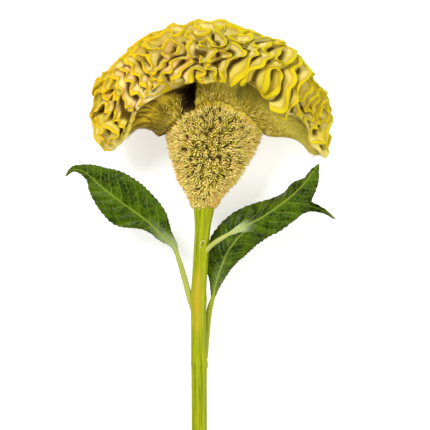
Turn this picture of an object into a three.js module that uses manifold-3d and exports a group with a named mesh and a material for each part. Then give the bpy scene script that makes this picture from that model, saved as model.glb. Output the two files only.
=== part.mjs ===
// A cut cockscomb flower (crested celosia) lying on its back, in millimetres.
//
// The flower is drawn upright in its own frame: x to the right, y up the stem from the cut end, z to the front.
// The last group lays it down: +Y of the part runs from the cut end towards the comb, and +Z is up from the surface.
// The comb's back and the cut end of the stem touch the surface.

import * as THREE from "three";
import { mergeVertices } from "three/addons/utils/BufferGeometryUtils.js";
import Module from "manifold-3d";

const wasm = await Module();
wasm.setup();

// Driving dimensions
const STEM_RIBS = 7;
const STEM_SIDES = 21;
const STEM_LEVELS = 22;
const RIB_DEPTH = 0.3;
const CUT_SLANT = 0.5; // the cut rises by this much along the stem for each mm across it
const STALK_GAP = 0.3; // between the stem and each leaf's stalk
const JOINT_HEIGHT = 208.5; // where the comb sits on the floret cone, on the cone's middle line
const JOINT_RISE = 0.0443; // the joint rises by this times z squared, towards front and back
const JOINT_GAP = 0.5;
const COMB_CENTRE = 4.6;
const COMB_DETAIL = 19;
const FOLD_SPACING = 16; // two ruffles to this length
const FOLD_HEIGHT = 6.6;
const FOLD_LEAN = 4.6; // how far a ruffle's edge hangs down the slope
const EVENING_ROUNDS = 3;
const LUMP_HEIGHT = 2.2;
const FLORET_COLUMNS = 56;
const FLORET_ROWS = 25;
const FLORET_LENGTH = 3.2;
const LEAF_THICKNESS = 0.8;

// How the flower lies
const TILT = THREE.MathUtils.degToRad(8);
const STEM_LIFT = 4.17; // height of the stem's middle line above the surface at the cut end
const PRESS_SOFTNESS = 1.2; // the ruffles underneath are pressed flat over this height
const PRESS_SINK = 0.25;
const MIDDLE = { x: -2.67, y: 133.3 }; // the middle of the lying flower, brought to the part's origin

// The stem's middle line and radius from the cut end up: x, y, radius
const STEM_LINE = [
  [-3.1, 0, 4.25], [-3.2, 40, 4.25], [-3.3, 78, 4.3], [-3.2, 84, 4.75], [-3.5, 90, 4.3], [-3.6, 112, 4.25],
  [-3.7, 119, 4.7], [-3.4, 126, 4.2], [-2.4, 141, 4.15], [-1.4, 157.5, 4.4], [-0.5, 170.1, 6.1],
];

// The comb's outline on four sides: radius from its middle line and height, from the top down to the joint
const COMB_RIGHT = [
  [0, 270.5], [16.5, 262.3], [32.5, 250], [52, 239], [62.5, 227],
  [62, 210], [58.5, 198.5], [51, 204.5], [39.5, 207.5], [26.5, 208.5],
];
const COMB_LEFT = [
  [0, 270.5], [19, 264.5], [41, 253.8], [61, 240.5], [63.5, 227],
  [60.5, 211], [52.5, 204.5], [45, 211.5], [35.5, 211], [25.5, 208.5],
];
const COMB_FRONT = [
  [0, 270.5], [13, 265], [24, 260], [32, 252], [36, 244.5],
  [35.5, 239], [32, 236.5], [27, 237.5], [22.5, 231], [19, 224.5],
];
const COMB_BACK = [
  [0, 270.5], [13, 264.5], [24, 259], [32.5, 250], [36, 240],
  [35, 233], [31.5, 230], [26.5, 232], [22, 228], [18.5, 223.7],
];
// The angle from the top, in degrees, at which each outline point is reached on a unit sphere
const COMB_ANGLES = [0, 28, 52.5, 76.5, 103, 125, 140, 150, 158, 168, 180];
const JOINT_STEP = COMB_RIGHT.length - 1;
const LOW_BRIM_TURN = THREE.MathUtils.degToRad(45);
const LOW_BRIM_WIDTH = THREE.MathUtils.degToRad(20);
// Where the brim hangs in lobes and the top is blunt: middle, width, and how far it sinks
const LOBES = [
  { middle: [-50, 206, 0], width: 6, drop: [-1, -4, 0] },
  { middle: [59, 202, 0], width: 6, drop: [-0.5, -4, 0] },
  { middle: [42, 228, 25], width: 12, drop: [0, -9, 1] },
  { middle: [37, 223, 28], width: 6, drop: [0, -5, 2] },
  { middle: [-14, 236, 33], width: 7, drop: [0, -2.5, 2] },
  { middle: [4.6, 270.5, 0], width: 7, drop: [0, -2, 0] },
];

// The floret cone's body from the stem up: height, half width, half depth
const CONE_LINE = [
  [170.4, 5, 4.8], [173, 6, 5.6], [178, 9.2, 7.8], [184, 14, 10.8],
  [191, 17.2, 13], [198, 20.2, 14.8], [204, 22.4, 16.4], [JOINT_HEIGHT - JOINT_GAP, 23.6, 17.6],
];

// Each leaf: its stalk's radius and line, then stations along the midrib with x, y, z, upper and lower width,
// and how far each half of the blade is turned back from the picture plane, in degrees
const LEAVES = {
  leaf_left: {
    colour: 0x44600f,
    stalkRadius: 1.6,
    stalk: [[-5, 110, 0], [-8, 118.8, 0.4], [-10.8, 129.6, 1], [-14, 140.6, 2.2]],
    blade: [
      [-14.2, 141, 2.3, 0.6, 0.6], [-17.2, 148.6, 3, 2.2, 1.6], [-22.7, 153.4, 4, 6.1, 3], [-28.6, 159.3, 5, 10.7, 4.6], [-35.1, 164.7, 5.5, 12.9, 8.7],
      [-42.1, 169.6, 5.5, 14.8, 12.6], [-49.7, 175.5, 5, 13.8, 11.4], [-56.7, 180.9, 3.5, 11, 7.4],
      [-62.1, 185.8, 1, 6.9, 3.6], [-67.5, 189, -3, 3.1, 1.8], [-72, 189.4, -6, 1.5, 1.3], [-76, 186, -9, 0.5, 0.5],
    ],
    turned: { upper: -12, lower: 14 },
  },
  leaf_right: {
    colour: 0x3d570f,
    stalkRadius: 1.25,
    stalk: [[-1.5, 142.5, 0], [1.9, 146.8, 2.8], [6.2, 150.5, 5.8], [12.7, 154.4, 8.5]],
    blade: [
      [12.5, 154.3, 8.4, 0.7, 0.7], [18.9, 157.7, 10, 2.4, 2.2], [23.8, 160, 10.6, 5.5, 5.4], [30.8, 163.8, 11.4, 9, 11], [39.4, 169.6, 12, 10.5, 11.6],
      [47, 175.6, 11.6, 10, 10.6], [52.9, 181.4, 10.6, 7.5, 8.2], [57.2, 186.8, 9.2, 4, 4.6], [61, 192, 7.6, 0.5, 0.5],
    ],
    turned: { upper: 64, lower: 10 },
  },
  leaf_rear: {
    colour: 0x35500f,
    stalkRadius: 1.6,
    stalk: [[-2, 79, 0], [-0.2, 87.5, -0.8], [0.9, 99.9, -2.6], [2.2, 112.3, -4], [4.3, 120.5, -4.9]],
    blade: [
      [4.3, 120, -4.9, 1, 1], [5.8, 127, -5.6, 3.4, 2.6], [9, 137, -6.5, 9.5, 5.5], [13.6, 146.6, -7.6, 12.5, 8.8],
      [21.5, 155.8, -8.6, 12, 10.2], [32.9, 163.6, -9.6, 9.4, 10.4], [45.2, 168.4, -10, 6.4, 8],
      [56, 169.6, -10, 3, 3.4], [64.5, 167, -9.6, 1.3, 1.4], [70.8, 162.6, -9, 0.5, 0.5],
    ],
    turned: { upper: 12, lower: 10 },
  },
};

const lerp = THREE.MathUtils.lerp;
const clamp = THREE.MathUtils.clamp;
const smooth = THREE.MathUtils.smoothstep; // (value, low, high)

function randomFrom(seed) {
  let state = seed;
  return () => {
    state = (state * 16807) % 2147483647;
    return state / 2147483647;
  };
}

// Values of a table of rows at a fractional row, on a Catmull-Rom curve
function alongRows(rows, at) {
  const i = clamp(Math.floor(at), 0, rows.length - 2);
  const t = at - i;
  return rows[i].map((_, k) => {
    const [p1, p2] = [rows[i][k], rows[i + 1][k]];
    const p0 = i > 0 ? rows[i - 1][k] : 2 * p1 - p2;
    const p3 = i + 2 < rows.length ? rows[i + 2][k] : 2 * p2 - p1;
    const slope = (p2 - p0) / 2;
    const next = (p3 - p1) / 2;
    return p1 + t * (slope + t * (3 * (p2 - p1) - 2 * slope - next + t * (slope + next - 2 * (p2 - p1))));
  });
}

function jointHeight(z) {
  return JOINT_HEIGHT + JOINT_RISE * z * z;
}

// What lies below the surface is pressed up to it, softly, so that no fold turns over
function press(point) {
  const height = point.y * Math.sin(TILT) + point.z * Math.cos(TILT) + STEM_LIFT;
  if (height > 8 * PRESS_SOFTNESS) return point;
  const pressed = PRESS_SOFTNESS * Math.log1p(Math.exp(height / PRESS_SOFTNESS)) - PRESS_SINK;
  point.z += (pressed - height) / Math.cos(TILT);
  return point;
}

// Solids

function volumeOf(position, index) {
  const [a, b, c] = [new THREE.Vector3(), new THREE.Vector3(), new THREE.Vector3()];
  let volume = 0;
  for (let k = 0; k < index.count; k += 3) {
    a.fromBufferAttribute(position, index.getX(k));
    b.fromBufferAttribute(position, index.getX(k + 1));
    c.fromBufferAttribute(position, index.getX(k + 2));
    volume += a.dot(b.cross(c)) / 6;
  }
  return volume;
}

function toSolid(geometry) {
  const merged = mergeVertices(geometry, 1e-4);
  const inward = volumeOf(merged.attributes.position, merged.index) < 0;
  const triVerts = new Uint32Array(merged.index.array);
  if (inward) triVerts.reverse();
  return new wasm.Manifold(
    new wasm.Mesh({ numProp: 3, vertProperties: merged.attributes.position.array, triVerts }),
  );
}

function toGeometry(solid) {
  const { vertProperties, triVerts } = solid.getMesh();
  return new THREE.BufferGeometry()
    .setAttribute("position", new THREE.BufferAttribute(vertProperties, 3))
    .setIndex(new THREE.BufferAttribute(triVerts, 1));
}

function geometryOf(points, faces) {
  return new THREE.BufferGeometry()
    .setAttribute("position", new THREE.Float32BufferAttribute(points.flatMap((p) => p.toArray()), 3))
    .setIndex(faces);
}

// A closed body through rings of points, with a fan over each end
function loft(rings, endCentres) {
  const sides = rings[0].length;
  const points = [...rings.flat(), ...endCentres];
  const faces = [];
  for (let i = 0; i + 1 < rings.length; i++) {
    for (let j = 0; j < sides; j++) {
      const [a, b] = [i * sides + j, i * sides + ((j + 1) % sides)];
      faces.push(a, b, b + sides, a, b + sides, a + sides);
    }
  }
  const last = (rings.length - 1) * sides;
  const [first, end] = [points.length - 2, points.length - 1];
  for (let j = 0; j < sides; j++) {
    const k = (j + 1) % sides;
    faces.push(first, k, j, end, last + j, last + k);
  }
  return geometryOf(points, faces);
}

// A thin closed sheet whose two faces are split into triangles alike
function sheet(rows, columns, at) {
  const width = columns + 1;
  const half = (rows + 1) * width;
  const points = [];
  for (const side of [1, -1]) {
    for (let i = 0; i <= rows; i++) {
      for (let j = 0; j <= columns; j++) points.push(at(i / rows, (2 * j) / columns - 1, side));
    }
  }
  const faces = [];
  for (let i = 0; i < rows; i++) {
    for (let j = 0; j < columns; j++) {
      const a = i * width + j;
      const [b, c, d] = [a + 1, a + width + 1, a + width];
      faces.push(a, b, c, a, c, d, half + a, half + c, half + b, half + a, half + d, half + c);
    }
  }
  const rim = [];
  for (let j = 0; j < columns; j++) rim.push(j);
  for (let i = 0; i < rows; i++) rim.push(i * width + columns);
  for (let j = columns; j > 0; j--) rim.push(rows * width + j);
  for (let i = rows; i > 0; i--) rim.push(i * width);
  rim.forEach((a, k) => {
    const b = rim[(k + 1) % rim.length];
    faces.push(b, a, half + a, b, half + a, half + b);
  });
  return geometryOf(points, faces);
}

// Stem

function stemSolid(extra) {
  const rings = [];
  for (let i = 0; i <= STEM_LEVELS; i++) {
    const [x, y, radius] = alongRows(STEM_LINE, (i / STEM_LEVELS) * (STEM_LINE.length - 1));
    const ring = [];
    for (let j = 0; j < STEM_SIDES; j++) {
      const angle = (2 * Math.PI * j) / STEM_SIDES;
      const r = radius + extra - RIB_DEPTH * (0.5 - 0.5 * Math.cos(STEM_RIBS * angle + 0.004 * y));
      const slant = i === 0 ? CUT_SLANT * r * Math.cos(angle) : 0;
      ring.push(new THREE.Vector3(x + r * Math.cos(angle), y + slant, r * Math.sin(angle)));
    }
    rings.push(ring);
  }
  const ends = [STEM_LINE[0], STEM_LINE.at(-1)].map(([x, y]) => new THREE.Vector3(x, y, 0));
  return toSolid(loft(rings, ends));
}

// Leaves

function tubeSolid(line, radii, sides) {
  const curve = new THREE.CatmullRomCurve3(line);
  const count = Math.round(1.6 * line.length);
  const frames = curve.computeFrenetFrames(count, false);
  const rings = [];
  for (let i = 0; i <= count; i++) {
    const centre = curve.getPointAt(i / count);
    const radius = lerp(radii[0], radii[1], i / count);
    const ring = [];
    for (let j = 0; j < sides; j++) {
      const angle = (2 * Math.PI * j) / sides;
      const ray = frames.normals[i].clone().multiplyScalar(Math.cos(angle));
      ring.push(centre.clone().addScaledVector(ray.addScaledVector(frames.binormals[i], Math.sin(angle)), radius));
    }
    rings.push(ring);
  }
  return toSolid(loft(rings, [curve.getPointAt(0), curve.getPointAt(1)]));
}

function leafSolid({ stalk, stalkRadius, blade, turned }) {
  const place = (t) => alongRows(blade, clamp(t, 0, 1) * (blade.length - 1));
  const at = (u, v, side) => {
    const [x, y, z, upper, lower] = place(u);
    const [x1, y1, z1] = place(u - 0.02);
    const [x2, y2, z2] = place(u + 0.02);
    const along = new THREE.Vector3(x2 - x1, y2 - y1, z2 - z1).normalize();
    const up = new THREE.Vector3(-along.y, along.x, 0).normalize();
    if (up.y < 0) up.negate();
    const back = new THREE.Vector3().crossVectors(up, along);
    if (back.z > 0) back.negate();
    const half = v > 0 ? 1 : -1;
    const turn = THREE.MathUtils.degToRad(v > 0 ? turned.upper : turned.lower) * Math.min(1, 3 * u + 0.1);
    const out = up.multiplyScalar(half * Math.cos(turn)).addScaledVector(back, Math.sin(turn));
    const face = new THREE.Vector3().crossVectors(along, out).normalize();
    if (face.z < 0) face.negate();
    const width = Math.abs(v) * (v > 0 ? upper : lower);
    const wave = 0.9 * v * v * Math.sin(26 * u + 2 * half) * Math.min(1, width / 5);
    const middle = new THREE.Vector3(x, y, z).addScaledVector(out, width);
    return middle.addScaledVector(face, wave + (side * LEAF_THICKNESS) / 2);
  };
  const rib = blade.slice(0, -1).map(([x, y, z]) => new THREE.Vector3(x, y, z - 0.3));
  const line = [...stalk.slice(0, -1).map((p) => new THREE.Vector3(...p)), ...rib];
  return toSolid(sheet(14, 6, at)).add(tubeSolid(line, [stalkRadius, 0.45], 6));
}

// Floret cone

function coneSolid() {
  const random = randomFrom(11);
  const base = -0.5; // the stem's middle line under the cone
  const rings = [];
  for (let i = 0; i <= FLORET_ROWS; i++) {
    const share = i / FLORET_ROWS;
    const [height, width, depth] = alongRows(CONE_LINE, share * (CONE_LINE.length - 1));
    const centre = lerp(base, COMB_CENTRE, smooth(share, 0, 1));
    const ring = [];
    for (let j = 0; j < FLORET_COLUMNS; j++) {
      const angle = (2 * Math.PI * j) / FLORET_COLUMNS;
      const [c, s] = [Math.cos(angle), Math.sin(angle)];
      const rise = (jointHeight(depth * s) - JOINT_HEIGHT) * smooth(share, 0.1, 1);
      const raised = i % 2 === 1 && i < FLORET_ROWS - 1 && (j + (i >> 1)) % 2 === 0;
      const length = raised ? FLORET_LENGTH * (0.75 + 0.5 * random()) : 0;
      const y = height + rise - 0.35 * length;
      ring.push(new THREE.Vector3(centre + (width + length) * c, y, (depth + length) * s));
    }
    rings.push(ring);
  }
  const top = rings.at(-1);
  const topHeight = (z) => jointHeight(z) - JOINT_GAP;
  for (const inner of [0.75, 0.5, 0.25]) {
    rings.push(top.map((p) => new THREE.Vector3(lerp(COMB_CENTRE, p.x, inner), topHeight(p.z * inner), p.z * inner)));
  }
  const ends = [new THREE.Vector3(base, CONE_LINE[0][0], 0), new THREE.Vector3(COMB_CENTRE, topHeight(0), 0)];
  return toSolid(loft(rings, ends));
}

// Comb

// How far the neck under the comb is drawn in at this azimuth: shallow flutes all round and some deep ones
function fluteDepth(azimuth) {
  const degrees = THREE.MathUtils.radToDeg(azimuth);
  const near = (at, width, leftWidth = width) => {
    const gap = ((degrees - at + 900) % 360) - 180;
    return Math.exp(-((gap / (gap > 0 ? leftWidth : width)) ** 2));
  };
  const waves = 0.09 * (0.5 - 0.5 * Math.cos(6 * (azimuth - Math.PI / 2)));
  return waves + 0.72 * near(126, 16, 8) + 0.2 * near(64, 10) + 0.22 * near(247, 13) + 0.16 * near(305, 12);
}

function stepAtAngle(degrees) {
  const i = Math.min(COMB_ANGLES.findLastIndex((a) => a <= degrees), JOINT_STEP);
  return i + (degrees - COMB_ANGLES[i]) / (COMB_ANGLES[i + 1] - COMB_ANGLES[i]);
}

function placeOf(direction) {
  const angle = THREE.MathUtils.radToDeg(Math.acos(clamp(direction.y, -1, 1)));
  const turn = Math.atan2(direction.z, direction.x);
  return { step: stepAtAngle(angle), azimuth: turn + 0.11 * Math.sin(2 * turn) };
}

// The comb's smooth body, without its ruffles, at a step down its outline and an azimuth
function bodyAt({ step, azimuth }) {
  const [c, s] = [Math.cos(azimuth), Math.sin(azimuth)];
  const outlineStep = Math.min(step, JOINT_STEP);
  const [right, left, front, back] = [COMB_RIGHT, COMB_LEFT, COMB_FRONT, COMB_BACK].map((rows) =>
    alongRows(rows, outlineStep),
  );
  const flute = 1 - fluteDepth(azimuth) * Math.sin(Math.PI * clamp((step - 6) / 3, 0, 1));
  const inner = JOINT_STEP + 1 - Math.max(step, JOINT_STEP);
  const x = (c > 0 ? right[0] : left[0]) * c * flute * inner;
  const z = (s > 0 ? front[0] : back[0]) * s * flute * inner;
  const low = lerp(left[1], right[1], (1 + c) / 2);
  const high = lerp(back[1], front[1], (1 + s) / 2);
  const free = lerp(low, high, smooth(Math.abs(s), 0.2 - 0.1 * c, 0.975 + 0.075 * c));
  const y = lerp(free, jointHeight(z), smooth(step, JOINT_STEP - 1, JOINT_STEP));
  return new THREE.Vector3(COMB_CENTRE + x, y, z);
}

// How much further down the outline the ruffles reach at an azimuth: least at the tips, most at the right front
function brimReach(azimuth) {
  const lowFront = 0.45 * Math.exp(-(((azimuth - LOW_BRIM_TURN) / LOW_BRIM_WIDTH) ** 2));
  return 0.25 + 0.55 * Math.sin(2 * azimuth) ** 2 - 0.35 * Math.cos(azimuth) ** 8 + lowFront;
}

// Lets the lobes of the brim down
function hang(body) {
  for (const { middle, width, drop } of LOBES) {
    const apart = body.distanceToSquared(new THREE.Vector3(...middle));
    body.addScaledVector(new THREE.Vector3(...drop), Math.exp(-apart / width ** 2));
  }
  return body;
}

// Waves of one length in all directions of space
function wavePool(seed, count, length) {
  const random = randomFrom(seed);
  const waves = Array.from({ length: count }, () => {
    const axis = new THREE.Vector3(random() - 0.5, random() - 0.5, random() - 0.5).normalize();
    return { axis: axis.multiplyScalar((2 * Math.PI) / length), phase: 2 * Math.PI * random() };
  });
  return (point) =>
    Math.sqrt(2 / count) * waves.reduce((sum, { axis, phase }) => sum + Math.cos(axis.dot(point) + phase), 0);
}

// Evens out a random field until its zero lines run side by side, like the edges of the ruffles
function foldField(places, bodies, links) {
  const shares = links.map((near, i) =>
    near.map((j) => [j, Math.min(0.15, 2 / (near.length * bodies[i].distanceToSquared(bodies[j])))]),
  );
  const spread = (values, rounds) => {
    let current = values;
    for (let round = 0; round < rounds; round++) {
      const from = current;
      current = from.map((value, i) => shares[i].reduce((sum, [j, share]) => sum + share * (from[j] - value), value));
    }
    return current;
  };
  const waves = wavePool(7, 40, FOLD_SPACING);
  const nearRounds = Math.round(0.028 * FOLD_SPACING ** 2);
  let field = bodies.map((body) => waves(body));
  for (let round = 1; round <= EVENING_ROUNDS; round++) {
    const near = spread(field, nearRounds);
    const far = spread(near, 2 * nearRounds);
    const evened = near.map((value, i) => value - far[i]);
    const size = Math.sqrt((2 * evened.reduce((sum, value) => sum + value * value, 0)) / evened.length);
    field = evened.map((value, i) => {
      const onComb = round < EVENING_ROUNDS ? Math.tanh((2.3 * value) / size) : value / size;
      return lerp(onComb, -1, smooth(places[i].step - brimReach(places[i].azimuth), 5.6, 6.6));
    });
  }
  return field;
}

// Moves points onto the zero line or splits triangles along it, so that each ruffle has an unbroken edge
function alignToZero(points, field, faces, links) {
  const crossings = points.map((_, i) => {
    const close = links[i].filter((j) => field[i] * field[j] < 0).map((j) => [field[i] / (field[i] - field[j]), j]);
    close.sort((p, q) => p[0] - q[0]);
    return close.length && close[0][0] < 0.36 ? close[0] : null;
  });
  const moved = points.map((point, i) => {
    const crossing = crossings[i];
    return crossing ? point.clone().lerp(points[crossing[1]], crossing[0]) : point;
  });
  const values = field.map((value, i) => (crossings[i] ? 0 : value));
  const crosses = (i, j) => values[i] * values[j] < 0;
  const cuts = new Map();
  const cut = (i, j) => {
    const key = Math.min(i, j) * 1e6 + Math.max(i, j);
    if (!cuts.has(key)) {
      cuts.set(key, moved.length);
      moved.push(moved[i].clone().lerp(moved[j], values[i] / (values[i] - values[j])));
      values.push(0);
    }
    return cuts.get(key);
  };
  const split = [];
  for (let k = 0; k < faces.length; k += 3) {
    let [a, b, c] = faces.slice(k, k + 3);
    while (crosses(b, c)) [a, b, c] = [b, c, a];
    if (crosses(a, b) && crosses(a, c)) {
      const [m, n] = [cut(a, b), cut(a, c)];
      split.push(a, m, n, m, b, c, m, c, n);
    } else if (crosses(a, b)) {
      const m = cut(a, b);
      split.push(a, m, c, m, b, c);
    } else if (crosses(a, c)) {
      const n = cut(a, c);
      split.push(a, b, n, n, b, c);
    } else split.push(a, b, c);
  }
  return { points: moved, values, faces: split };
}

function combSolid() {
  const grid = new THREE.IcosahedronGeometry(1, COMB_DETAIL);
  grid.deleteAttribute("uv");
  grid.deleteAttribute("normal");
  const sphere = mergeVertices(grid, 1e-5);
  const faces = [...sphere.index.array];
  const points = Array.from({ length: sphere.attributes.position.count }, (_, i) =>
    new THREE.Vector3().fromBufferAttribute(sphere.attributes.position, i),
  );
  const linkSets = points.map(() => new Set());
  faces.forEach((from, k) => linkSets[from].add(faces[k - (k % 3) + ((k + 1) % 3)]));
  const links = linkSets.map((set) => [...set]);
  const places = points.map(placeOf);
  const field = foldField(places, places.map(bodyAt), links);
  const aligned = alignToZero(points, field, faces, links);
  const lumps = wavePool(29, 12, 55);
  const shaped = aligned.points.map((point, i) => {
    const direction = point.clone().normalize();
    const { step, azimuth } = placeOf(direction);
    const base = bodyAt({ step, azimuth });
    const reference = Math.abs(direction.y) > 0.9 ? new THREE.Vector3(1, 0, 0) : new THREE.Vector3(0, 1, 0);
    const tangent = reference.cross(direction).normalize();
    const across = new THREE.Vector3().crossVectors(direction, tangent);
    const beside = (offset) => bodyAt(placeOf(direction.clone().addScaledVector(offset, 0.006).normalize())).sub(base);
    const normal = beside(tangent).cross(beside(across)).normalize();
    const downhill = bodyAt({ step: step + 0.03, azimuth }).sub(base).normalize();
    const fold = (1 - (2 / Math.PI) * Math.asin(Math.min(1, Math.abs(aligned.values[i])))) ** 1.3;
    const lean = FOLD_LEAN * fold * smooth(step, 0.3, 2.5) * (1 - smooth(step, 4.8, 6));
    const lump = LUMP_HEIGHT * lumps(base) * (1 - smooth(step, 4.5, 6.5));
    const rise = FOLD_HEIGHT * (fold - 0.45) * (1 - smooth(step - brimReach(azimuth), 5.6, 6.8)) + lump;
    return press(hang(base).addScaledVector(normal, rise).addScaledVector(downhill, lean));
  });
  const floor = new THREE.BoxGeometry(400, 400, 40);
  floor.deleteAttribute("uv");
  floor.deleteAttribute("normal");
  floor.translate(0, 200, -20 - STEM_LIFT).rotateX(-TILT);
  return toSolid(geometryOf(shaped, aligned.faces)).subtract(toSolid(floor));
}

// The flower

const stemRoom = stemSolid(STALK_GAP);
const pieces = [
  ["stem", stemSolid(0), 0x8fa32a, 0.5],
  ["floret_cone", coneSolid(), 0xb9a45c, 0.8],
  ["crest", combSolid(), 0xd9b93c, 0.6],
];
for (const [name, leaf] of Object.entries(LEAVES)) {
  pieces.push([name, leafSolid(leaf).subtract(stemRoom), leaf.colour, 0.45]);
}

const lying = new THREE.Group();
lying.rotation.x = TILT;
lying.position.set(-MIDDLE.x, -MIDDLE.y, STEM_LIFT);
for (const [name, solid, color, roughness] of pieces) {
  const mesh = new THREE.Mesh(toGeometry(solid), new THREE.MeshStandardMaterial({ color, roughness, metalness: 0 }));
  mesh.name = name;
  lying.add(mesh);
}

const flower = new THREE.Group();
flower.add(lying);

export default flower;
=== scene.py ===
"""A cut cockscomb flower lying on its back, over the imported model.

Every piece is shaped upright in millimetres, in the flower's own frame: x to the right, y up the stem from
the cut end, z to the front. LYING then lays it down in the model's frame, in metres.
"""

import math

import bmesh
import bpy
import numpy as np
from mathutils import Matrix, Vector


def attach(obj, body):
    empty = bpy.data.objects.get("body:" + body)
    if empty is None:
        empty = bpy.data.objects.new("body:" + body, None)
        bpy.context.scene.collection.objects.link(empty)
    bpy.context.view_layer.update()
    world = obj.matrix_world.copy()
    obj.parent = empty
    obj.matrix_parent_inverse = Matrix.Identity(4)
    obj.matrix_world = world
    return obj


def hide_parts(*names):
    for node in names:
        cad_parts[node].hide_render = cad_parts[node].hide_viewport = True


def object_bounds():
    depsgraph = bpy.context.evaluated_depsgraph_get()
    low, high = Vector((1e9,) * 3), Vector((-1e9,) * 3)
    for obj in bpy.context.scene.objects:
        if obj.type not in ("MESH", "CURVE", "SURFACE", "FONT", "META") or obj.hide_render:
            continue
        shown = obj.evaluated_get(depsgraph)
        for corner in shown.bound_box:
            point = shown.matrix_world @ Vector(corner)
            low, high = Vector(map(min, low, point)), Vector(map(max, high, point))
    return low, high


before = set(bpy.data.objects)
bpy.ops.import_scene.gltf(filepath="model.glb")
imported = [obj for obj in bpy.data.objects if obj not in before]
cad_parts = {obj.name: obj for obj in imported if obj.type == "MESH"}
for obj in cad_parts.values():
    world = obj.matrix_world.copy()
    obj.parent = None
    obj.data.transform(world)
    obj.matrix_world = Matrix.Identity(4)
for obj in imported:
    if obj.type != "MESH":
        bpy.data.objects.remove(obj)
model_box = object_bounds()

# How the flower lies
TILT = math.radians(8)
STEM_LIFT = 4.17
MIDDLE_X, MIDDLE_Y = -2.67, 133.3
PRESS_SOFTNESS = 1.2
PRESS_SINK = 0.25
MM = 0.001
LYING = (
    Matrix.Scale(MM, 4)
    @ Matrix.Translation((-MIDDLE_X, -MIDDLE_Y, STEM_LIFT))
    @ Matrix.Rotation(TILT, 4, "X")
)

# The photograph: 430 pixels square, the stem's middle line near pixel 205 across
PHOTO_SIDE = 430
PIXEL = 0.54
PHOTO_STEM_X = 205
PHOTO_LOW_EDGE = 48.6
LENS = 150
SENSOR = 36

# The comb
JOINT_HEIGHT = 208.5
JOINT_RISE = 0.0443
JOINT_GAP = 0.5
COMB_CENTRE = 4.6
FOLD_SPACING = 10.4
FOLD_HEIGHT = 6.6
FOLD_LEAN = 4.6
FOLD_SWAY = 1.7
SWAY_LENGTH = 5
DRIFT = 0.6
DRIFT_LENGTH = 10
HEIGHT_CHANGE = 0.1
HEIGHT_CHANGE_LENGTH = 30
LUMP_HEIGHT = 2.2
LUMP_LENGTH = 55
EVENING_ROUNDS = 3
# The mesh is finer in front of this z and above this y of the comb's unit sphere
FINE_Z = -0.05
FINE_Y = -0.8
COMB_RIGHT = [
    (0, 270.5), (16.5, 262.3), (32.5, 250), (52, 239), (62.5, 227),
    (62, 210), (58.5, 198.5), (51, 204.5), (39.5, 207.5), (26.5, 208.5),
]
COMB_LEFT = [
    (0, 270.5), (19, 264.5), (41, 253.8), (61, 240.5), (63.5, 227),
    (60.5, 211), (52.5, 204.5), (45, 211.5), (35.5, 211), (25.5, 208.5),
]
COMB_FRONT = [
    (0, 270.5), (13, 265), (24, 260), (32, 252), (36, 244.5),
    (35.5, 239), (32, 236.5), (27, 237.5), (22.5, 231), (19, 224.5),
]
COMB_BACK = [
    (0, 270.5), (13, 264.5), (24, 259), (32.5, 250), (36, 240),
    (35, 233), (31.5, 230), (26.5, 232), (22, 228), (18.5, 223.7),
]
COMB_ANGLES = [0, 28, 52.5, 76.5, 103, 125, 140, 150, 158, 168, 180]
# The profile of a ruffle from its rim to the middle of the valley: its height, and its draw towards the rim
RUFFLE_HEIGHTS = [1, 0.95, 0.8, 0.56, 0.33, 0.15, 0.04, 0]
RUFFLE_DRAWS = [0, -0.1, 0.1, 0.6, 0.6, 0.35, 0.1, 0]
# Where the brim hangs in lobes and the top is blunt: middle, width, and how far it sinks
LOBES = [
    ((-50, 206, 0), 6, (-1, -4, 0)),
    ((59, 202, 0), 6, (-0.5, -4, 0)),
    ((42, 228, 25), 12, (0, -9, 1)),
    ((37, 223, 28), 6, (0, -5, 2)),
    ((-14, 236, 33), 7, (0, -2.5, 2)),
    ((4.6, 270.5, 0), 7, (0, -2, 0)),
]
JOINT_STEP = len(COMB_RIGHT) - 1
LOW_BRIM_TURN = math.radians(45)
LOW_BRIM_WIDTH = math.radians(20)
# The flutes of the neck: azimuth, width to the right and to the left in degrees, and depth
FLUTES = [(126, 16, 8, 0.72), (64, 10, 10, 0.2), (247, 13, 13, 0.22), (305, 12, 12, 0.16)]
FINE_FLUTE = 0.09
FINE_FLUTES = 6

# The floret cone: height, half width, half depth
CONE_LINE = [
    (170.4, 5, 4.8), (173, 6, 5.6), (178, 9.2, 7.8), (184, 14, 10.8),
    (191, 17.2, 13), (198, 20.2, 14.8), (204, 22.4, 16.4), (208, 23.6, 17.6),
]
CONE_BASE_X = -0.5
FLORET_ROWS = 36
FLORET_SPACING = 1.85
FLORET_LENGTH = 3.5
TEPAL_WIDTH = 0.8
NECK_HAIRS = 11000
HAIR_WIDTH = 0.34
HAIR_LENGTH = 2.4

# The stem's middle line and radius from the cut end up: x, y, radius
STEM_LINE = [
    (-3.1, 0, 4.25), (-3.2, 40, 4.25), (-3.3, 78, 4.3), (-3.2, 84, 4.75), (-3.5, 90, 4.3), (-3.6, 112, 4.25),
    (-3.7, 119, 4.7), (-3.4, 126, 4.2), (-2.4, 141, 4.15), (-1.4, 157.5, 4.4), (-0.5, 170.1, 6.1),
]
STEM_GROOVE = 0.3
STEM_RIBS = 7
CUT_SLANT = 0.5
# Two dried threads that curl off the stem where the right leaf joins it
THREADS = {
    "thread_left": [
        (-1.9, 146.5, 3.4), (-2.6, 148.4, 4.8), (-1.9, 150.6, 5.6), (-0.5, 150.9, 5.5), (0, 149.3, 5.2),
    ],
    "thread_right": [
        (2, 145.5, 2), (3.3, 147.6, 3.8), (4.4, 149.6, 4.9), (5.6, 150.2, 5.1), (6, 149, 4.9),
    ],
}
THREAD_RADIUS = 0.42

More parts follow.
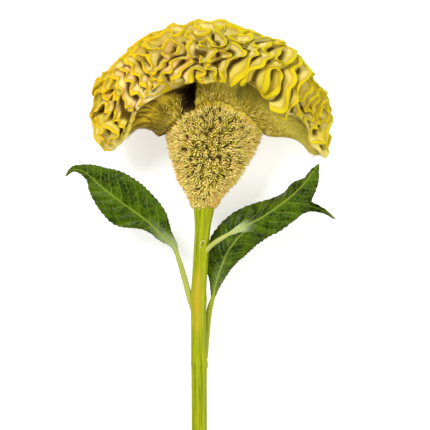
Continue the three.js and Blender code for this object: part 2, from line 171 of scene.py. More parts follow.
# The leaves: the stalk's line, stations along the midrib with x, y, z, upper width and lower width, how far
# each half of the blade is turned back in degrees, the stalk's radius, and how pale the blade's base is with
# painted sheen
LEAVES = {
    "leaf_left": {
        "stalk": [(-5, 110, 0), (-8, 118.8, 0.4), (-10.8, 129.6, 1), (-14, 140.6, 2.2)],
        "blade": [
            (-14.2, 141, 2.3, 0.6, 0.6), (-17.2, 148.6, 3, 2.2, 1.6), (-22.7, 153.4, 4, 6.1, 3),
            (-28.6, 159.3, 5, 10.7, 4.6), (-35.1, 164.7, 5.5, 12.9, 8.7),
            (-42.1, 169.6, 5.5, 14.8, 12.6), (-49.7, 175.5, 5, 13.8, 11.4),
            (-56.7, 180.9, 3.5, 11, 7.4), (-62.1, 185.8, 1, 6.9, 3.6), (-67.5, 189, -3, 3.1, 1.8),
            (-72, 189.4, -6, 1.5, 1.3), (-76, 186, -9, 0.3, 0.3),
        ],
        "turned": (-12, 14),
        "radius": 1.6,
        "paleness_and_sheen": 0.5,
    },
    "leaf_right": {
        "stalk": [(-1.5, 142.5, 0), (1.9, 146.8, 2.8), (6.2, 150.5, 5.8), (12.7, 154.4, 8.5)],
        "blade": [
            (12.5, 154.3, 8.4, 0.7, 0.7), (18.9, 157.7, 10, 2.4, 2.2), (23.8, 160, 10.6, 5.5, 5.4),
            (30.8, 163.8, 11.4, 9, 11), (39.4, 169.6, 12, 10.5, 11.6),
            (47, 175.6, 11.6, 10, 10.6), (52.9, 181.4, 10.6, 7.5, 8.2),
            (57.2, 186.8, 9.2, 4, 4.6), (61, 192, 7.6, 0.3, 0.3),
        ],
        "turned": (64, 10),
        "radius": 1.25,
        "paleness_and_sheen": 0.85,
    },
    "leaf_rear": {
        "stalk": [(-2, 79, 0), (-0.2, 87.5, -0.8), (0.9, 99.9, -2.6), (2.2, 112.3, -4), (4.3, 120.5, -4.9)],
        "blade": [
            (4.3, 120, -4.9, 1, 1), (5.8, 127, -5.6, 3.4, 2.6), (9, 137, -6.5, 9.5, 5.5),
            (13.6, 146.6, -7.6, 12.5, 8.8), (21.5, 155.8, -8.6, 12, 10.2),
            (32.9, 163.6, -9.6, 9.4, 10.4), (45.2, 168.4, -10, 6.4, 8),
            (56, 169.6, -10, 3, 3.4), (64.5, 167, -9.6, 1.3, 1.4), (70.8, 162.6, -9, 0.3, 0.3),
        ],
        "turned": (12, 10),
        "radius": 1.6,
        "paleness_and_sheen": 0.1,
    },
}
BLADE_THICKNESS = 0.5
VEIN_SPACING = 5.6


# Numbers

def smooth(value, low, high):
    share = np.clip((value - low) / (high - low), 0, 1)
    return share * share * (3 - 2 * share)


def lerp(a, b, share):
    return a + (b - a) * share


def random_from(seed):
    """An endless run of numbers between 0 and 1, the same on every machine."""
    state = seed
    while True:
        state = state * 16807 % 2147483647
        yield state / 2147483647


def along_rows(rows, at):
    """Values of a table of rows at fractional rows, on a Catmull-Rom curve."""
    rows = np.array(rows, float)
    padded = np.vstack([2 * rows[0] - rows[1], rows, 2 * rows[-1] - rows[-2]])
    at = np.asarray(at, float)
    i = np.clip(at.astype(int), 0, len(rows) - 2)
    t = (at - i)[..., None]
    p0, p1, p2, p3 = (padded[i + k] for k in range(4))
    slope, following, rise = (p2 - p0) / 2, (p3 - p1) / 2, p2 - p1
    return p1 + t * (slope + t * (3 * rise - 2 * slope - following + t * (slope + following - 2 * rise)))


def unit(vectors):
    return vectors / np.linalg.norm(vectors, axis=-1, keepdims=True)


def wave_pool(seed, count, length):
    """Waves of one length in all directions of space, as a function of points."""
    draw = random_from(seed)
    axes, phases = [], []
    for _ in range(count):
        axis = np.array([next(draw) - 0.5, next(draw) - 0.5, next(draw) - 0.5])
        axes.append(unit(axis) * 2 * math.pi / length)
        phases.append(2 * math.pi * next(draw))
    axes, phases = np.array(axes), np.array(phases)
    return lambda points: math.sqrt(2 / count) * np.cos(points @ axes.T + phases).sum(axis=-1)


# Meshes

def coordinates(mesh):
    flat = np.empty(3 * len(mesh.vertices))
    mesh.vertices.foreach_get("co", flat)
    return flat.reshape(-1, 3)


def place_points(mesh, points):
    mesh.vertices.foreach_set("co", np.ascontiguousarray(points, dtype=np.float32).ravel())
    mesh.update()


def mark(mesh, name, values):
    """Stores a value or a vector for each vertex, for the finish to read."""
    values = np.asarray(values, dtype=np.float32)
    kind, field = ("FLOAT", "value") if values.ndim == 1 else ("FLOAT_VECTOR", "vector")
    mesh.attributes.new(name, kind, "POINT").data.foreach_set(field, values.ravel())


def mesh_of(bm, name):
    mesh = bpy.data.meshes.new(name)
    bm.to_mesh(mesh)
    bm.free()
    return mesh


def piece(name, mesh, finish, slot, *nodes):
    """Lays a mesh down as a piece of the model, in place of the nodes it covers. Its slot is not used."""
    mesh.transform(LYING)
    place_points(mesh, np.clip(coordinates(mesh), *model_box))
    mesh.materials.append(finish)
    mesh.shade_smooth()
    made = bpy.data.objects.new(name, mesh)
    bpy.context.scene.collection.objects.link(made)
    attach(made, "root")
    if nodes:
        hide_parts(*nodes)
    return made


def add_tube(bm, sides, levels):
    """A closed tube of unit radius from z = 0 to 1, ready to be placed along a line."""
    made = bmesh.ops.create_cone(
        bm, cap_ends=True, cap_tris=True, segments=sides, radius1=1, radius2=1, depth=1,
        matrix=Matrix.Translation((0, 0, 0.5)),
    )
    edges = {edge for vertex in made["verts"] for edge in vertex.link_edges}
    upright = [edge for edge in edges if abs(edge.verts[0].co.z - edge.verts[1].co.z) > 0.5]
    bmesh.ops.subdivide_edges(bm, edges=upright, cuts=levels)


def swept(points, line, radius):
    """Places a unit tube's points along a line of x, y, z rows, with the radius given for each point."""
    share = points[:, 2] * (len(line) - 1)
    centre = along_rows(line, share)
    ahead = along_rows(line, np.minimum(share + 0.02, len(line) - 1))
    behind = along_rows(line, np.maximum(share - 0.02, 0))
    along = unit(ahead - behind)
    front = np.array([0.0, 0.0, 1.0])
    face = unit(front - along * (along @ front)[:, None])
    beside = np.cross(along, face)
    return centre + (beside * points[:, :1] + face * points[:, 1:2]) * radius[:, None]


# Finishes

def srgb(red, green, blue):
    """A colour as seen, 0 to 255, in the linear values that the shader takes."""
    shares = (red / 255, green / 255, blue / 255)
    return tuple(((c + 0.055) / 1.055) ** 2.4 if c > 0.04 else c / 12.92 for c in shares) + (1,)


class Value:
    """A socket that takes part in sums as a number does."""

    def __init__(self, finish, socket):
        self.finish = finish
        self.socket = socket

    def math(self, operation, first, second=0.0):
        return self.finish.node("ShaderNodeMath", {"operation": operation}, {0: first, 1: second})

    def __add__(self, other):
        return self.math("ADD", self, other)

    def __radd__(self, other):
        return self.math("ADD", other, self)

    def __sub__(self, other):
        return self.math("SUBTRACT", self, other)

    def __rsub__(self, other):
        return self.math("SUBTRACT", other, self)

    def __mul__(self, other):
        return self.math("MULTIPLY", self, other)

    def __rmul__(self, other):
        return self.math("MULTIPLY", other, self)


class Finish:
    """A material's nodes."""

    def __init__(self, name, values):
        self.material = bpy.data.materials.new(name)
        self.material.use_nodes = True
        self.tree = self.material.node_tree
        self.shader = self.tree.nodes["Principled BSDF"]
        for key, value in values.items():
            self.shader.inputs[key].default_value = value

    def node(self, kind, settings=None, sockets=None, output=0):
        made = self.tree.nodes.new(kind)
        for key, value in (settings or {}).items():
            setattr(made, key, value)
        for key, value in (sockets or {}).items():
            self.feed(made.inputs[key], value)
        return Value(self, made.outputs[output])

    def feed(self, socket, value):
        if isinstance(value, Value):
            self.tree.links.new(value.socket, socket)
        else:
            socket.default_value = value

    def set(self, name, value):
        self.feed(self.shader.inputs[name], value)

    def marked(self, name):
        return self.node("ShaderNodeAttribute", {"attribute_name": name}, output="Fac")

    def marked_vector(self, name):
        return self.node("ShaderNodeAttribute", {"attribute_name": name}, output="Vector")

    def place(self):
        return self.node("ShaderNodeTexCoord", output="Object")

    def noise(self, scale, detail=3, roughness=0.5, vector=None):
        sockets = {"Scale": scale, "Detail": detail, "Roughness": roughness}
        return self.node("ShaderNodeTexNoise", None, {"Vector": vector or self.place(), **sockets})

    def ramp(self, value, low, high):
        """0 below low, 1 above high, and smooth between."""
        settings = {"interpolation_type": "SMOOTHSTEP"}
        sockets = {"Value": value, "From Min": low, "From Max": high}
        return self.node("ShaderNodeMapRange", settings, sockets)

    def mix(self, share, first, second, blend="MIX"):
        settings = {"data_type": "RGBA", "blend_type": blend}
        return self.node("ShaderNodeMix", settings, {0: share, 6: first, 7: second}, 2)

    def bump(self, height, distance, strength=1.0):
        sockets = {"Height": height, "Distance": distance, "Strength": strength}
        return self.node("ShaderNodeBump", None, sockets)


def comb_finish():
    finish = Finish("comb", {"Roughness": 0.6, "Specular IOR Level": 0.12})
    fold = finish.marked("fold")
    side = finish.marked("side")
    patches = finish.ramp(finish.noise(38, 2), 0.35, 0.65)
    blush = finish.ramp(finish.noise(95, 3), 0.5, 0.66)
    pale = finish.mix(patches, srgb(208, 190, 70), srgb(236, 218, 142))
    tinted = finish.mix(blush * side * 0.8, pale, srgb(238, 194, 124))
    face = finish.mix((1 - side) * patches * 0.6, tinted, srgb(196, 190, 60))
    # Painted shade: the faces turn dark brown towards the bottoms of the valleys between the ruffles.
    valley_shaded_face = finish.mix(finish.ramp(fold, 0, 0.25), srgb(84, 62, 0), face)
    rim = finish.mix((1 - side) * 0.8 + patches * 0.3, srgb(216, 182, 16), srgb(200, 188, 12))
    off_rim = finish.marked("off_rim")
    shadow = finish.mix((1 - finish.ramp(off_rim, 0.95, 1.4)) * 0.6, valley_shaded_face, srgb(172, 132, 12))
    ruffled = finish.mix(1 - finish.ramp(off_rim, 0.6, 1.05), shadow, rim)
    grain = finish.marked_vector("grain")
    streaks = finish.noise(1.0, 3, 0.6, grain)
    fur = finish.mix(finish.ramp(streaks, 0.4, 0.6), srgb(104, 78, 2), srgb(190, 164, 34))
    green = finish.mix(finish.ramp(1 - side, 0.35, 0.7) * 0.7, fur, srgb(222, 208, 84))
    # Painted shade: the neck turns near black where its deep flute runs in under the brim.
    cavity_shaded_neck = finish.mix(finish.marked("cavity_shade"), green, srgb(24, 10, 0))
    finish.set("Base Color", finish.mix(finish.marked("neck"), ruffled, cavity_shaded_neck))
    height = finish.noise(900, 2) * 0.4 + streaks * finish.marked("neck")
    finish.set("Normal", finish.bump(height, 0.0005, 0.5))
    return finish.material


def hair_finish():
    finish = Finish("neck_hairs", {"Roughness": 0.6, "Specular IOR Level": 0.2})
    tip = finish.marked("tip")
    kind = finish.marked("kind")
    pale = finish.mix(finish.ramp(kind, 0.3, 0.9), srgb(200, 180, 44), srgb(236, 214, 118))
    fur = finish.mix(finish.ramp(tip, 0.0, 0.7), srgb(140, 118, 16), pale)
    finish.set("Base Color", finish.mix(finish.marked("shade"), fur, srgb(112, 86, 6)))
    return finish.material


def floret_finish():
    finish = Finish("florets", {"Roughness": 0.6, "Specular IOR Level": 0.2})
    tip = finish.marked("tip")
    kind = finish.marked("kind")
    cream = finish.mix(finish.ramp(kind, 0.05, 0.4), srgb(222, 214, 60), srgb(255, 242, 152))
    tan = finish.mix(finish.ramp(kind, 0.55, 0.9), srgb(246, 222, 132), srgb(230, 152, 66))
    body = finish.mix(finish.ramp(tip, 0.0, 0.3), srgb(206, 188, 70), cream)
    finish.set("Base Color", finish.mix(finish.ramp(tip, 0.62, 0.9), body, tan))
    return finish.material


def core_finish():
    finish = Finish("floret_core", {"Roughness": 0.8, "Specular IOR Level": 0.2})
    patches = finish.ramp(finish.noise(300, 3), 0.4, 0.7)
    finish.set("Base Color", finish.mix(patches, srgb(56, 40, 2), srgb(156, 138, 34)))
    return finish.material


def stem_finish():
    finish = Finish("stem", {"Roughness": 0.45, "Specular IOR Level": 0.1})
    rib = finish.marked("rib")
    blush = finish.marked("blush")
    grain = finish.marked_vector("grain")
    streaks = finish.ramp(finish.noise(1.0, 3, 0.6, grain), 0.35, 0.65)
    green = finish.mix(streaks, srgb(98, 116, 0), srgb(166, 174, 12))
    ribbed = finish.mix(rib * 0.6, green, srgb(174, 178, 18))
    pink = finish.mix(streaks, srgb(196, 166, 52), srgb(170, 160, 20))
    coloured = finish.mix(blush, ribbed, pink)
    # Pale whitish green: the threads' own colour, and on the leaf stalks partly a painted sheen.
    finish.set("Base Color", finish.mix(finish.marked("paleness_and_sheen"), coloured, srgb(204, 208, 128)))
    finish.set("Normal", finish.bump(streaks, 0.0002, 0.5))
    return finish.material


def leaf_finish():
    finish = Finish("leaf", {"Specular IOR Level": 0.1})
    vein = finish.marked("vein")
    blotch = finish.ramp(finish.noise(130, 3), 0.35, 0.65)
    blade = finish.mix(blotch, srgb(26, 46, 0), srgb(66, 90, 0))
    settings = {"feature": "DISTANCE_TO_EDGE"}
    net = finish.node("ShaderNodeTexVoronoi", settings, {"Vector": finish.place(), "Scale": 420.0})
    netted = finish.mix((1 - finish.ramp(net, 0.02, 0.14)) * 0.3, blade, srgb(104, 126, 20))
    # Painted sheen: a whitish patch on the blade near its base and midrib.
    near = finish.mix(finish.marked("paleness_and_sheen"), netted, srgb(182, 196, 136))
    finish.set("Base Color", finish.mix(vein * 0.75, near, srgb(140, 158, 50)))
    finish.set("Roughness", 0.3 + blotch * 0.14)
    finish.set("Normal", finish.bump(net + finish.noise(250, 2), 0.0005, 0.6))
    return finish.material


# Comb

def joint_height(z):
    return JOINT_HEIGHT + JOINT_RISE * z * z


def flute_depth(azimuth):
    """How far the neck under the comb is drawn in at an azimuth."""
    depth = FINE_FLUTE * (0.5 - 0.5 * np.cos(FINE_FLUTES * (azimuth - math.pi / 2)))
    for at, right_width, left_width, deepest in FLUTES:
        gap = (np.degrees(azimuth) - at + 540) % 360 - 180
        depth = depth + deepest * np.exp(-((gap / np.where(gap > 0, left_width, right_width)) ** 2))
    return depth


def place_of(directions):
    angle = np.degrees(np.arccos(np.clip(directions[:, 1], -1, 1)))
    turn = np.arctan2(directions[:, 2], directions[:, 0])
    return np.interp(angle, COMB_ANGLES, range(len(COMB_ANGLES))), turn + 0.11 * np.sin(2 * turn)


def comb_body(step, azimuth):
    """The comb's smooth body, without its ruffles, at a step down its outline and an azimuth."""
    c, s = np.cos(azimuth), np.sin(azimuth)
    outline_step = np.minimum(step, JOINT_STEP)
    right, left, front, back = (
        along_rows(rows, outline_step) for rows in (COMB_RIGHT, COMB_LEFT, COMB_FRONT, COMB_BACK)
    )
    flute = 1 - flute_depth(azimuth) * np.sin(math.pi * np.clip((step - 6) / 3, 0, 1))
    inner = JOINT_STEP + 1 - np.maximum(step, JOINT_STEP)
    x = np.where(c > 0, right[:, 0], left[:, 0]) * c * flute * inner
    z = np.where(s > 0, front[:, 0], back[:, 0]) * s * flute * inner
    low = lerp(left[:, 1], right[:, 1], (1 + c) / 2)
    high = lerp(back[:, 1], front[:, 1], (1 + s) / 2)
    free = lerp(low, high, smooth(np.abs(s), 0.2 - 0.1 * c, 0.975 + 0.075 * c))
    y = lerp(free, joint_height(z), smooth(step, JOINT_STEP - 1, JOINT_STEP))
    return np.stack([COMB_CENTRE + x, y, z], axis=1)


def comb_normals(directions, body):
    reference = np.where(np.abs(directions[:, 1:2]) > 0.9, [[1.0, 0.0, 0.0]], [[0.0, 1.0, 0.0]])
    tangent = unit(np.cross(reference, directions))
    across = np.cross(directions, tangent)
    beside = [comb_body(*place_of(unit(directions + 0.006 * way))) - body for way in (tangent, across)]
    return unit(np.cross(*beside))


def pairs_of(mesh):
    flat = np.empty(2 * len(mesh.edges), dtype=np.int32)
    mesh.edges.foreach_get("vertices", flat)
    return flat[::2], flat[1::2]


def spread(values, pairs, shares, rounds):
    """Blurs values over a mesh: each round moves a share of every difference between neighbours."""
    a, b = pairs
    for _ in range(rounds):
        flow = shares * (values[b] - values[a])
        values = values + np.bincount(a, flow, len(values)) - np.bincount(b, flow, len(values))
    return values


def fold_field(mesh):
    """Evens out a random field until its zero lines run side by side, like the edges of the ruffles."""
    step, azimuth = place_of(coordinates(mesh))
    body = comb_body(step, azimuth)
    pairs = pairs_of(mesh)
    apart = ((body[pairs[0]] - body[pairs[1]]) ** 2).sum(axis=1)
    shares = np.minimum(0.15, 1 / (6 * apart))
    near_rounds = round(0.056 * FOLD_SPACING**2)
    below = smooth(step - brim_reach(azimuth), 5.6, 6.6)
    field = wave_pool(8, 40, FOLD_SPACING)(body)
    for turn in range(EVENING_ROUNDS):
        near = spread(field, pairs, shares, near_rounds)
        evened = near - spread(near, pairs, shares, 2 * near_rounds)
        evened /= math.sqrt(2 * (evened**2).mean())
        on_comb = evened if turn == EVENING_ROUNDS - 1 else np.tanh(2.3 * evened)
        field = lerp(on_comb, -1, below)
    return field


def press(points):
    """Presses what lies below the surface up to it, softly, with a flat spot underneath."""
    height = points[:, 1] * math.sin(TILT) + points[:, 2] * math.cos(TILT) + STEM_LIFT
    pressed = PRESS_SOFTNESS * np.logaddexp(0, height / PRESS_SOFTNESS) - PRESS_SINK
    pressed = np.where(height > 8 * PRESS_SOFTNESS, height, np.maximum(pressed, 0))
    return points + np.stack([0 * height, 0 * height, (pressed - height) / math.cos(TILT)], axis=1)


def brim_reach(azimuth):
    """How much further down the outline the ruffles reach: least at the tips, most at the right front."""
    low_front = 0.45 * np.exp(-(((azimuth - LOW_BRIM_TURN) / LOW_BRIM_WIDTH) ** 2))
    return 0.25 + 0.55 * np.sin(2 * azimuth) ** 2 - 0.35 * np.cos(azimuth) ** 8 + low_front


def slope_of(values, body, pairs):
    """How steeply a value rises across the surface, and which way."""
    a, b = pairs
    along = body[b] - body[a]
    rise = (values[b] - values[a]) / (along**2).sum(axis=1)
    meeting = np.bincount(a, minlength=len(body)) + np.bincount(b, minlength=len(body))
    total = [
        np.bincount(a, rise * along[:, k], len(body)) + np.bincount(b, rise * along[:, k], len(body))
        for k in range(3)
    ]
    return 2 * np.stack(total, axis=1) / meeting[:, None]


def hang(body):
    """Lets the lobes of the brim down."""
    for middle, width, drop in LOBES:
        apart = ((body - middle) ** 2).sum(axis=1)
        body = body + np.exp(-apart / width**2)[:, None] * drop
    return body


def comb_form():
    """The comb's sphere with the field of its folds, finer where the ruffles are seen."""
    bm = bmesh.new()
    bmesh.ops.create_icosphere(bm, subdivisions=6, radius=1)
    coarse = bpy.data.meshes.new("coarse")
    bm.to_mesh(coarse)
    layer = bm.verts.layers.float.new("field")
    for vertex, value in zip(bm.verts, fold_field(coarse)):
        vertex[layer] = value
    bmesh.ops.subdivide_edges(bm, edges=bm.edges[:], cuts=1, use_grid_fill=True)
    seen = [e for e in bm.edges if e.verts[0].co.z > FINE_Z and e.verts[0].co.y > FINE_Y]
    bmesh.ops.subdivide_edges(bm, edges=seen, cuts=1, use_grid_fill=True)
    bmesh.ops.triangulate(bm, faces=bm.faces[:])
    return mesh_of(bm, "crest_form")


def comb_mesh():
    mesh = comb_form()
    pairs = pairs_of(mesh)
    field = np.empty(len(mesh.vertices), dtype=np.float32)
    mesh.attributes["field"].data.foreach_get("value", field)
    field = spread(field.astype(float), pairs, 0.12, 6)
    directions = unit(coordinates(mesh))
    step, azimuth = place_of(directions)
    body = comb_body(step, azimuth)
    normal = comb_normals(directions, body)
    downhill = unit(comb_body(step + 0.03, azimuth) - body)
    slope = slope_of(field, body, pairs)
    steepness = np.linalg.norm(slope, axis=1)
    across = slope / (steepness[:, None] + 1e-6)
    off_edge = 2 / math.pi * np.arctan2(2 * math.pi / FOLD_SPACING * np.abs(field), steepness)
    marks = np.linspace(0, 1, len(RUFFLE_HEIGHTS))
    fold = np.interp(off_edge, marks, RUFFLE_HEIGHTS)
    draw = -np.sign(field) * np.interp(off_edge, marks, RUFFLE_DRAWS)
    on_comb = 1 - smooth(step - brim_reach(azimuth), 5.6, 6.8)
    height = FOLD_HEIGHT * (1 + HEIGHT_CHANGE * wave_pool(47, 12, HEIGHT_CHANGE_LENGTH)(body))
    lump = LUMP_HEIGHT * wave_pool(29, 12, LUMP_LENGTH)(body) * (1 - smooth(step, 4.5, 6.5))
    rise = height * (fold - 0.5) * on_comb + lump
    lean = FOLD_LEAN * fold * smooth(step, 0.3, 2.5) * (1 - smooth(step, 4.8, 6))
    nearest_rim = body - across * (np.sign(field) * off_edge * FOLD_SPACING / 4)[:, None]
    sway = FOLD_SWAY * fold * wave_pool(41, 20, SWAY_LENGTH)(nearest_rim)
    drift = np.stack([wave_pool(seed, 20, DRIFT_LENGTH)(body) for seed in (71, 73, 79)], axis=1)
    drift *= (DRIFT * on_comb)[:, None]
    points = hang(body) + normal * rise[:, None] + downhill * lean[:, None] + drift
    points += across * ((draw + sway) * on_comb)[:, None]
    points = np.stack([spread(points[:, k], pairs, 0.12, 5) for k in range(3)], axis=1)
    place_points(mesh, press(points))
    mark(mesh, "fold", fold * on_comb)
    mark(mesh, "off_rim", lerp(9, np.abs(field) / (steepness + 0.02), on_comb))
    mark(mesh, "neck", smooth(step - brim_reach(azimuth), 5.9, 6.5))
    # Painted shade: how far the neck is darkened where its deep flutes run in under the brim.
    under_brim = smooth(step, 6.2, 6.8) * (1 - smooth(step, 8.3, 9))
    mark(mesh, "cavity_shade", smooth(flute_depth(azimuth), 0.15, 0.4) * under_brim)
    mark(mesh, "side", 1 - 0.75 * smooth(body[:, 0], -30, 30))
    mark(mesh, "grain", np.stack([np.cos(azimuth) * 26, np.sin(azimuth) * 26, step * 1.4], axis=1))
    return mesh


def neck_hair_mesh():
    """Short hairs on the neck under the comb, that fan out from the florets."""
    draw = random_from(61)
    spots = np.array([[next(draw) for _ in range(5)] for _ in range(NECK_HAIRS)])
    step = 6.2 + 2.78 * spots[:, 0] ** 0.65
    azimuth = 2 * math.pi * spots[:, 1]
    body = comb_body(step, azimuth)
    uphill = unit(comb_body(step - 0.05, azimuth) - body)
    sideways = unit(comb_body(step, azimuth + 0.01) - body)
    normal = unit(np.cross(uphill, sideways))
    ways = uphill + 0.4 * normal + 0.7 * (spots[:, 2:3] - 0.5) * sideways
    sizes = (0.6 + 0.6 * spots[:, 3]) * (0.55 + 1.1 * smooth(step, 7.6, 8.9))
    keep = flute_depth(azimuth) < 0.35
    roots = hang(body) - 0.2 * normal
    forms = [blade_form("hair", HAIR_WIDTH, HAIR_LENGTH, 3, 1)]
    mesh = scatter("neck_hairs", forms, roots[keep], unit(ways[keep]), sizes[keep], 67)
    mark(mesh, "shade", 0.7 * smooth(-coordinates(mesh)[:, 0], 14, 26))
    return mesh


# Floret cone

def cone_surface(share, azimuth):
    """A point of the floret cone's body, and the way its florets point."""
    height, width, depth = along_rows(CONE_LINE, share * (len(CONE_LINE) - 1)).T
    centre = lerp(CONE_BASE_X, COMB_CENTRE, smooth(share, 0, 1))
    c, s = np.cos(azimuth), np.sin(azimuth)
    rise = (joint_height(depth * s) - JOINT_HEIGHT) * smooth(share, 0.1, 1)
    points = np.stack([centre + width * c, height + rise, depth * s], axis=1)
    outward = np.stack([c / width, 0 * c, s / depth], axis=1)
    outward = unit(outward) + np.stack([0 * c, 1.5 * (share - 0.62), 0 * c], axis=1)
    return points, unit(outward)


def core_mesh():
    bm = bmesh.new()
    add_tube(bm, 96, 40)
    mesh = mesh_of(bm, "floret_core_form")
    unit_points = coordinates(mesh)
    share = unit_points[:, 2]
    azimuth = np.arctan2(unit_points[:, 1], unit_points[:, 0])
    points, _ = cone_surface(share, azimuth)
    middle = np.hypot(unit_points[:, 0], unit_points[:, 1]) < 0.5
    top = [COMB_CENTRE, JOINT_HEIGHT - JOINT_GAP, 0]
    base = [CONE_BASE_X, CONE_LINE[0][0], 0]
    points[middle] = np.where(share[middle, None] > 0.5, [top], [base])
    place_points(mesh, points)
    return mesh


def blade_form(name, width, length, cuts, columns=2):
    """A small pointed blade standing on the origin along z, cupped to its middle line."""
    bm = bmesh.new()
    bmesh.ops.create_grid(bm, x_segments=columns, y_segments=cuts, size=1)
    mesh = mesh_of(bm, name)
    flat = coordinates(mesh)
    up = (flat[:, 1] + 1) / 2
    half = width / 2 * np.sin(math.pi * np.clip(0.16 + 0.84 * up, 0, 1)) ** 0.8
    cup = 0.35 * width * flat[:, 0] ** 2
    place_points(mesh, np.stack([flat[:, 0] * half, cup + 0.08 * length * up**2, up * length], axis=1))
    mark(mesh, "tip", up)
    return mesh


def floret_form(tepals, open_degrees):
    """One floret: narrow pointed tepals round a middle line."""
    bm = bmesh.new()
    tepal = blade_form("tepal", TEPAL_WIDTH, 1.0, 3)
    place_points(tepal, coordinates(tepal) * [1, 1, FLORET_LENGTH])
    lean = Matrix.Rotation(math.radians(-open_degrees), 4, "X")
    for k in range(tepals):
        one = tepal.copy()
        spin = Matrix.Rotation(2 * math.pi * k / tepals, 4, "Z")
        one.transform(spin @ Matrix.Translation((0, 0.22, 0)) @ lean)
        bm.from_mesh(one)
    return mesh_of(bm, "floret")


def scatter(name, forms, points, ways, sizes, seed):
    """One mesh of many small forms, each standing at a point along its way, with a kind of its own."""
    draw = random_from(seed)
    bm = bmesh.new()
    kinds = []
    for point, way, size in zip(points, ways, sizes):
        one = forms[int(next(draw) * len(forms))].copy()
        kinds += [next(draw)] * len(one.vertices)
        turn = Vector(way).to_track_quat("Z", "Y").to_matrix().to_4x4()
        spin = Matrix.Rotation(2 * math.pi * next(draw), 4, "Z")
        one.transform(Matrix.Translation(point) @ turn @ spin @ Matrix.Scale(size, 4))
        bm.from_mesh(one)
        bpy.data.meshes.remove(one)
    mesh = mesh_of(bm, name)
    mark(mesh, "kind", kinds)
    return mesh


def floret_spots():
    draw = random_from(5)
    shares, azimuths = [], []
    for row in range(FLORET_ROWS):
        share = (row + 0.5) / FLORET_ROWS
        _, width, depth = along_rows(CONE_LINE, np.array([share * (len(CONE_LINE) - 1)]))[0]
        count = max(6, round(math.pi * (width + depth) / FLORET_SPACING))
        for k in range(count):
            shares.append(share + 0.5 * (next(draw) - 0.5) / FLORET_ROWS)
            azimuths.append(2 * math.pi * (k + 0.5 * (row % 2) + 0.6 * (next(draw) - 0.5)) / count)
    return np.array(shares), np.array(azimuths)


def floret_mesh():
    draw = random_from(17)
    points, ways = cone_surface(*floret_spots())
    jitter = np.array([[next(draw) - 0.5 for _ in range(3)] for _ in points])
    sizes = [0.75 + 0.4 * next(draw) for _ in points]
    forms = [floret_form(5, 14), floret_form(4, 22), floret_form(3, 8)]
    return scatter("florets", forms, points - 0.4 * ways, unit(ways + 0.8 * jitter), sizes, 23)


# Stem

def stem_mesh():
    bm = bmesh.new()
    add_tube(bm, 84, 220)
    mesh = mesh_of(bm, "stem_form")
    unit_points = coordinates(mesh)
    share = unit_points[:, 2]
    x, y, radius = along_rows(STEM_LINE, share * (len(STEM_LINE) - 1)).T
    line = [(x, y, 0) for x, y, _ in STEM_LINE]
    angle = np.arctan2(unit_points[:, 1], unit_points[:, 0])
    rib = 0.5 + 0.5 * np.cos(STEM_RIBS * angle + 0.004 * y)
    radius = radius - STEM_GROOVE * (1 - rib) + 0.06 * np.cos(23 * angle + 0.02 * y)
    points = swept(unit_points, line, radius)
    low = share < 1e-6
    points[low, 1] += CUT_SLANT * (points[low, 0] - STEM_LINE[0][0])
    place_points(mesh, points)
    mark(mesh, "rib", rib**2)
    in_front = np.exp(-(((angle - 1.75) / 0.6) ** 2))
    mark(mesh, "blush", in_front * smooth(y, 97, 108) * (1 - smooth(y, 128, 140)))
    mark(mesh, "paleness_and_sheen", 0 * y)
    mark(mesh, "grain", np.stack([np.cos(angle) * 9, np.sin(angle) * 9, y * 0.05], axis=1))
    return mesh


# Leaves

def vein_share(along, across, length):
    """How much of a vein there is at a distance along the midrib and across from it, in mm."""
    side = np.where(across > 0, 0.5, 0.0)
    off = np.abs(across)
    slanted = along - 0.75 * off - 0.012 * off**2 + 0.7 * np.sin(0.3 * along + side) * np.sin(0.4 * off)
    phase = slanted / VEIN_SPACING + side
    apart = np.abs(phase - np.round(phase)) * VEIN_SPACING
    lateral = (1 - smooth(apart, 0.1, 0.4)) * (1 - smooth(off, 7, 13))
    midrib = 1 - smooth(off, 0.1 + 0.2 * (1 - along / length), 0.4 + 0.4 * (1 - along / length))
    return np.maximum(0.5 * lateral, midrib), np.cos(2 * math.pi * phase)


